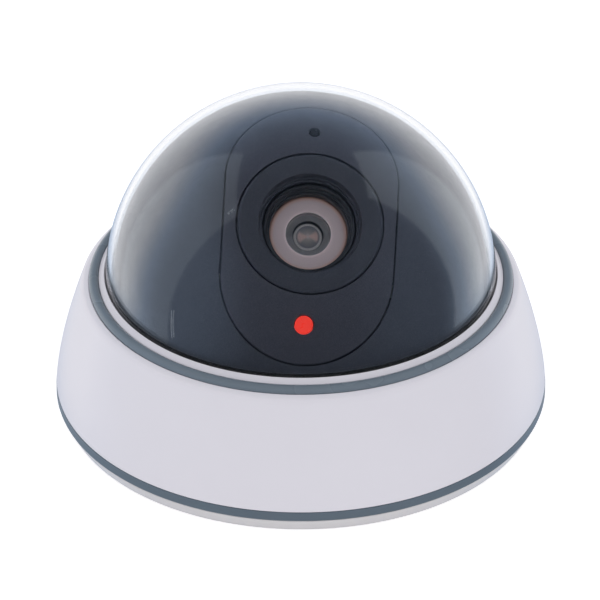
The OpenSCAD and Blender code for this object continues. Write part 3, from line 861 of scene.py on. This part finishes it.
def slab(name, outline, low, high, place):
    """A closed prism from an outline in mm in the frame `place`."""
    count = len(outline)
    verts = [place @ (Vector((x, y, z)) * MM) for z in (low, high) for x, y in outline]
    faces = [tuple(range(count)), tuple(range(count, 2 * count))]
    faces += [(k, (k + 1) % count, count + (k + 1) % count, count + k) for k in range(count)]
    return link_mesh(name, verts, faces)


def join_keeping_normals(main, others):
    """Joins objects into the first, whose given normals stay."""
    bpy.ops.object.select_all(action="DESELECT")
    for obj in [main, *others]:
        obj.select_set(True)
    bpy.context.view_layer.objects.active = main
    bpy.ops.object.join()
    return main


def make_ball_shell():
    """The ball: rings from the face plate's opening round to the back, outside and inside."""
    edge = 0.3
    opening = long_hole(FACE_TURN_R + SEAM)
    wide = long_hole(FACE_TURN_R + SEAM + edge)
    back = math.radians(176)
    steps = 60

    def slid(shape, radius, i):
        """The opening's outline slid along a sphere, i steps of the way to the back."""
        ring = []
        for x, y in shape:
            bearing = math.atan2(y, x)
            start = math.asin(math.hypot(x, y) / radius)
            angle = start + (back - start) * i / steps
            ring.append((radius * math.sin(angle) * math.cos(bearing),
                         radius * math.sin(angle) * math.sin(bearing), radius * math.cos(angle)))
        return ring

    rings = []
    for inset, drop in corner(edge):
        shape = long_hole(FACE_TURN_R + SEAM + inset)
        rings.append([(x, y, math.sqrt(BALL_R ** 2 - x * x - y * y) - drop) for x, y in shape])
    rings += [slid(wide, BALL_R, i) for i in range(1, steps + 1)]
    rings += [slid(opening, BALL_R - BALL_WALL, i) for i in range(steps, -1, -1)]
    rings = [[FACE_FRAME @ (Vector(p) * MM) for p in ring] for ring in rings]
    shell = loft("ball_shell_moulding", rings)
    trim_below(shell, BALL_Z + BALL_RIM)
    round_normals(shell, BALL_CENTRE, BALL_R)
    return shell


def trim_below(obj, z):
    """Cuts a hollow shell off level at a height and closes its rim."""
    bm = bmesh.new()
    bm.from_mesh(obj.data)
    bmesh.ops.bisect_plane(bm, geom=list(bm.verts) + list(bm.edges) + list(bm.faces), dist=1e-8,
                           plane_co=(0, 0, z * MM), plane_no=(0, 0, -1), clear_outer=True)
    open_edges = [e for e in bm.edges if e.is_boundary]
    bmesh.ops.bridge_loops(bm, edges=open_edges)
    bmesh.ops.recalc_face_normals(bm, faces=bm.faces)
    bm.to_mesh(obj.data)
    bm.free()
    obj.data.shade_smooth()
    obj.data.set_sharp_from_angle(angle=math.radians(35))


def make_ball():
    """The ball with its pivot bosses and the bosses for the face plate's screws."""
    shell = make_ball_shell()
    inner_r = BALL_R - BALL_WALL
    pivots = []
    for angle in (0, 180):
        outline = rounded([(2.47, 38.8, 0.1), (6, 38.8, 0.25), (6, 47.3, 0), (2.47, 47.3, 0)])
        pivots.append(turned("pivot_boss", outline, 64, radial(angle, 0, BALL_Z)))
    bosses = []
    for x in (-EAR_X, EAR_X):
        for y in (-EAR_Y, EAR_Y):
            top = math.sqrt(inner_r ** 2 - x * x - y * y) + 0.6
            outline = rounded([(1.05, 35.05, 0.05), (2.3, 35.05, 0.15), (2.3, top, 0), (1.05, top, 0)])
            bosses.append(turned("boss", outline, 40, at(x, y)))
    ball = join_keeping_normals(shell, pivots + bosses)
    put_on(ball, "tilt", "ball_shell", BALL_BLACK)


# ================================================================ lens

def make_bezel():
    """The ring round the lens, with a stepped well and a sleeve behind."""
    outline = rounded([
        (13.25, BEZEL_FRONT, 0.22), (18.0, BEZEL_FRONT, 0.2), (BEZEL_R, BEZEL_FRONT - 0.55, 0.3),
        (BEZEL_R, BEZEL_BACK, 0.1), (SLEEVE_R, BEZEL_BACK, 0.1), (SLEEVE_R, SLEEVE_BACK, 0.1),
        (SLEEVE_BORE_R, SLEEVE_BACK, 0.1), (SLEEVE_BORE_R, 43.0, 0.12), (12.55, 43.0, 0.1),
        (12.6, 44.0, 0.1), (13.0, 44.05, 0.1)], 4)
    put_on(turned("lens_bezel_ring", outline, FINE, LENS_FRAME, 30), "turret", "lens_bezel",
                 BEZEL_BLACK)


def make_barrel():
    """The lens barrel: its mouth, the seats of the disc and the lenses, and its back."""
    seat = LENS_FRONT + 0.05
    outline = rounded([
        (BARREL_R, BARREL_BACK, 0.2), (BARREL_R, BARREL_FRONT, 0.3), (11.15, BARREL_FRONT, 0.15),
        (11.1, 40.2, 0.1), (10.6, 40.1, 0.1), (10.6, seat, 0), (10.3, seat, 0), (10.3, 33.5, 0),
        (8.4, 33.5, 0), (8.4, 19.5, 0), (7, 19.5, 0), (7, BARREL_BACK, 0.2)], 4)
    put_on(turned("lens_barrel_tube", outline, FINE, LENS_FRAME, 30), "lens", "lens_barrel",
                 BARREL_BLACK)


def make_barrel_ring():
    """The turned ring that holds the tinted disc in the barrel."""
    outline = rounded([
        (LENS_DISC_R, LENS_FRONT + 0.1, 0.05), (10.56, LENS_FRONT + 0.1, 0), (10.56, 39.3, 0.12),
        (LENS_DISC_R + 0.1, 39.0, 0.15)], 4)
    put_on(turned("barrel_ring_turned", outline, FINE, LENS_FRAME, 30), "lens", "barrel_ring",
                 BARREL_BLACK)


def make_tinted_disc():
    """A shallow domed annulus with a raised rim at the pupil, and the grey seat behind the front glass."""
    crown = [(r, LENS_FRONT - 0.5 * ((r - PUPIL_R) / 4.2) ** 2 * 0.5 - 0.05, 0)
             for r in (9.6, 9.0, 8.2, 7.4, 6.7, 6.25)]
    outline = rounded([(10.2, LENS_FRONT - 0.9, 0.05), (10.2, LENS_FRONT - 0.42, 0.12)] + crown
                      + [(6.05, LENS_FRONT, 0.1), (PUPIL_R, LENS_FRONT - 0.05, 0.12),
                         (PUPIL_R, LENS_FRONT - 0.9, 0.05)], 4)
    step = LENS_FRONT - 2.1
    seat = [(3.95, step - 0.25, 0.05), (5.75, step - 0.25, 0), (5.75, step, 0), (3.95, step, 0.05)]
    disc = join("tinted_disc_ring", [turned("disc", outline, FINE, LENS_FRAME, 30),
                                     turned("seat", rounded(seat, 3), FINE, LENS_FRAME, 30)], 30)
    put_on(disc, "lens", "lens_mask", PINK_WITH_PAINTED_GLINTS)


def make_pupil():
    """The clear front glass in the pupil and the coated lens behind it."""
    top = LENS_FRONT - 0.2
    edge = PUPIL_R - 0.05
    front = [(r, top - 0.5 * (r / edge) ** 2, 0) for r in (5.4, 4.6, 3.8, 3.0, 2.0, 1.0)]
    rear = [(r, top - 1.2 - 0.5 * (r / edge) ** 2, 0) for r in (1.0, 2.0, 3.0, 3.8, 4.6, 5.4)]
    glass = turned("front_glass_lens", rounded([(0, top, 0), (0, top - 1.2, 0)] + rear
                                               + [(edge, top - 1.8, 0.1), (edge, top - 0.6, 0.1)] + front, 3),
                   128, LENS_FRAME, 30)
    put_on(glass, "lens", "front_glass", LENS_GLASS)
    low = PUPIL_LENS_Z - 3.8
    inner = [(r, PUPIL_LENS_Z - 0.7 * (r / PUPIL_LENS_R) ** 2, 0) for r in (3.5, 3.0, 2.2, 1.4, 0.7)]
    pupil = turned("pupil_lens_glass", rounded([(0, low, 0), (PUPIL_LENS_R, low, 0.2),
                                                (PUPIL_LENS_R, PUPIL_LENS_Z - 0.8, 0.15)]
                                               + inner + [(0, PUPIL_LENS_Z, 0)], 3), 128, LENS_FRAME, 30)
    put_on(pupil, "lens", "pupil_lens", LENS_GLINTS_PAINTED)


def circle_point(radius, height, k):
    """Point k of 96 on a circle round the lamp's middle, at the height that a surface has there."""
    a = 2 * math.pi * k / 96
    x, y = radius * math.cos(a), radius * math.sin(a) * LAMP_SQUASH[1][1] - LAMP_OFFSET
    return FACE_FRAME @ (Vector((x, y, height(x, y))) * MM)


def make_lamp():
    """The red lamp: a collar at its foot and an end that follows the ball, a little below its surface."""
    foot, collar_r, collar_top = 36, 2.6, 36.9
    end_r = BALL_R - 0.12
    top = on_ball(end_r)
    outline = [(0.01, level(foot)), (collar_r, level(foot)), (collar_r, level(collar_top)),
               (LAMP_R, level(collar_top + 0.05))]
    outline += [(LAMP_R - inset, on_ball(end_r, drop)) for inset, drop in corner(0.15)]
    outline += [(1.6, top), (0.9, top), (0.01, top)]
    rings = [[circle_point(radius, height, k) for k in range(96)] for radius, height in outline]
    body = loft("status_lamp", rings, 30)
    put_on(body, "tilt", "status_led", LAMP_RED)


def make_light_sensor():
    """The dark round-ended sensor in its hole."""
    radius, foot, shoulder = 1.45, 36.2, 40
    crown = [(radius * math.cos(a), shoulder + radius * math.sin(a), 0)
             for a in (math.pi / 2 * i / 12 for i in range(1, 12))]
    outline = rounded([(0, foot, 0), (radius, foot, 0.1), (radius, shoulder, 0)] + crown
                      + [(0, shoulder + radius, 0)], 3)
    body = turned("light_sensor_resin", outline, 64, at(0, SENSOR_OFFSET), 30)
    put_on(body, "tilt", "light_sensor", SENSOR_DARK)


# ================================================================ stage

CAMERA_AZIMUTH = -4.5
CAMERA_ELEVATION = 32.17
CAMERA_DISTANCE = 2.012
CAMERA_LENS = 456.9
CAMERA_AIM = Vector((-0.00024, 0, 0.0310))
LIGHT_DISTANCE = 1.2
FLOOR_RADII = (0.0622, 0.3, 8.0)     # metres: the opening under the base, a ring near it, the far edge


def direction_of(azimuth, elevation):
    """A direction from the object, in degrees: azimuth 0 towards the camera's side, positive to its right."""
    a, e = math.radians(azimuth + CAMERA_AZIMUTH), math.radians(elevation)
    return Vector((math.sin(a) * math.cos(e), -math.cos(a) * math.cos(e), math.sin(e)))


def make_stage():
    """A large sheet of white paper, lit so evenly that it throws light back up like a light table.
    It is open under the base, so that the base's underside doesn't lie in the paper."""
    count = 128
    verts = [(r * math.cos(a), r * math.sin(a), 0) for r in FLOOR_RADII
             for a in (2 * math.pi * k / count for k in range(count))]
    faces = [(i + k, i + count + k, i + count + (k + 1) % count, i + (k + 1) % count)
             for i in (0, count) for k in range(count)]
    floor = link_mesh("floor", verts, faces)
    floor.location.z = cad_box[0][2]
    paint = Paint("floor_paper")
    paint.colour(paint.ramp(paint.noise(3.0), [(0.3, (0.84, 0.84, 0.84)), (0.7, (0.86, 0.86, 0.86))]))
    paint.rough(paint.spread(paint.noise(40.0), 0.8, 0.9))
    paint.set(Emission_Color=(1.0, 1.0, 1.0, 1.0), Emission_Strength=0.42)
    floor.data.materials.append(paint.material)
    floor.visible_glossy = False
    floor.visible_transmission = False


def soft_box(name, azimuth, elevation, width, height, radiance):
    """A cool rectangular light that spans width by height degrees as seen from the object."""
    direction = direction_of(azimuth, elevation)
    light = bpy.data.lights.new(name, "AREA")
    light.shape = "RECTANGLE"
    light.size = 2 * LIGHT_DISTANCE * math.tan(math.radians(width / 2))
    light.size_y = 2 * LIGHT_DISTANCE * math.tan(math.radians(height / 2))
    light.energy = radiance * math.pi * light.size * light.size_y
    light.color = (0.90, 1.0, 1.08)
    obj = bpy.data.objects.new(name, light)
    obj.location = BALL_CENTRE + direction * LIGHT_DISTANCE
    obj.rotation_euler = (-direction).to_track_quat("-Z", "Y").to_euler()
    obj.visible_camera = False
    obj.visible_diffuse = False
    scene.collection.objects.link(obj)


def make_world():
    """White paper for the camera, an even fill for matt surfaces, and for gloss a backdrop that
    is bright behind and beside the object and falls off upwards and to the front."""
    world = bpy.data.worlds.new("studio")
    scene.world = world
    world.use_nodes = True
    world.cycles.sampling_method = "NONE"
    tree = world.node_tree
    link = tree.links.new
    background = tree.nodes["Background"]

    coords = tree.nodes.new("ShaderNodeTexCoord")
    split = tree.nodes.new("ShaderNodeSeparateXYZ")
    link(coords.outputs["Generated"], split.inputs[0])
    up = split.outputs["Z"]

    def towards(azimuth):
        """How nearly a direction points to an azimuth."""
        node = tree.nodes.new("ShaderNodeVectorMath")
        node.operation = "DOT_PRODUCT"
        node.inputs[1].default_value = direction_of(azimuth, 0)
        link(coords.outputs["Generated"], node.inputs[0])
        return node.outputs["Value"]

    def spread(value, start, end, low, high):
        node = tree.nodes.new("ShaderNodeMapRange")
        node.interpolation_type = "SMOOTHSTEP"
        for key, number in (("From Min", start), ("From Max", end), ("To Min", low), ("To Max", high)):
            node.inputs[key].default_value = number
        link(value, node.inputs["Value"])
        return node.outputs["Result"]

    def calculate(operation, a, b):
        node = tree.nodes.new("ShaderNodeMath")
        node.operation = operation
        link(a, node.inputs[0])
        link(b, node.inputs[1])
        return node.outputs[0]

    def multiply(a, b):
        return calculate("MULTIPLY", a, b)

    def add(a, b):
        return calculate("ADD", a, b)

    def mix(factor, a, b):
        node = tree.nodes.new("ShaderNodeMix")
        node.data_type = "RGBA"
        link(factor, node.inputs["Factor"])
        for key, value in (("A", a), ("B", b)):
            socket = [i for i in node.inputs if i.name == key and i.type == "RGBA"][0]
            if isinstance(value, tuple):
                socket.default_value = (*value, 1.0)
            else:
                link(value, socket)
        return [o for o in node.outputs if o.type == "RGBA"][0]

    back, left = towards(180), towards(-90)
    behind = multiply(spread(back, -0.1, 0.75, 0.0, 1.0), spread(up, -0.55, -0.32, 0.54, 1.0))
    beside_left = multiply(spread(left, 0.4, 0.95, 0.0, 0.27), spread(up, 0.5, 0.9, 1.0, 0.0))
    beside = add(beside_left, spread(left, -0.4, -0.95, 0.02, 0.12))
    glow = add(multiply(behind, spread(up, 0.05, 1.0, 1.0, 0.08)), beside)
    tint = tree.nodes.new("ShaderNodeValToRGB")
    tint.color_ramp.elements.new(0.5)
    for element, (stop, colour) in zip(tint.color_ramp.elements, (
            (0.0, (0.0, 0.0, 0.0)), (0.55, (0.39, 0.51, 0.70)), (1.0, (1.06, 1.07, 1.11)))):
        element.position = stop
        element.color = (*colour, 1.0)
    link(glow, tint.inputs["Fac"])
    gloss = tint.outputs["Color"]
    front = mix(spread(up, 0.1, 0.6, 0.0, 1.0), (0.36, 0.36, 0.37), (1.22, 1.22, 1.25))
    sky = mix(spread(back, -0.2, 0.5, 0.0, 1.0), front, (0.80, 0.81, 0.83))
    fill = mix(spread(up, -0.15, 0.0, 1.0, 0.0), sky, (0.85, 0.85, 0.87))
    path = tree.nodes.new("ShaderNodeLightPath")
    light = mix(path.outputs["Diffuse Depth"], gloss, fill)
    link(mix(path.outputs["Is Camera Ray"], light, (1.0, 1.0, 1.0)), background.inputs["Color"])


def make_lights():
    make_world()
    soft_box("left_panel", -103, 15, 52, 85, 0.26)
    soft_box("right_panel", 114, 15, 38, 85, 0.33)
    soft_box("left_edge_low", -76.5, -15, 0.8, 13, 1.6)
    soft_box("left_edge_high", -76.5, 51, 0.8, 4, 1.6)


def make_camera():
    direction = direction_of(0, CAMERA_ELEVATION)
    data = bpy.data.cameras.new("camera")
    data.lens = CAMERA_LENS
    data.sensor_width = 36.0
    data.clip_end = 50.0
    camera = bpy.data.objects.new("camera", data)
    camera.location = CAMERA_AIM + direction * CAMERA_DISTANCE
    camera.rotation_euler = (-direction).to_track_quat("-Z", "Y").to_euler()
    scene.collection.objects.link(camera)
    scene.camera = camera


make_camera()
paint_frame()
make_housing()
make_upper_band()
make_lower_band()
make_base()
make_dome()
make_ball()
make_face_plate()
make_bezel()
make_barrel()
make_barrel_ring()
make_tinted_disc()
make_pupil()
make_lamp()
make_light_sensor()
make_stage()
make_lights()
scene.view_settings.view_transform = "Standard"
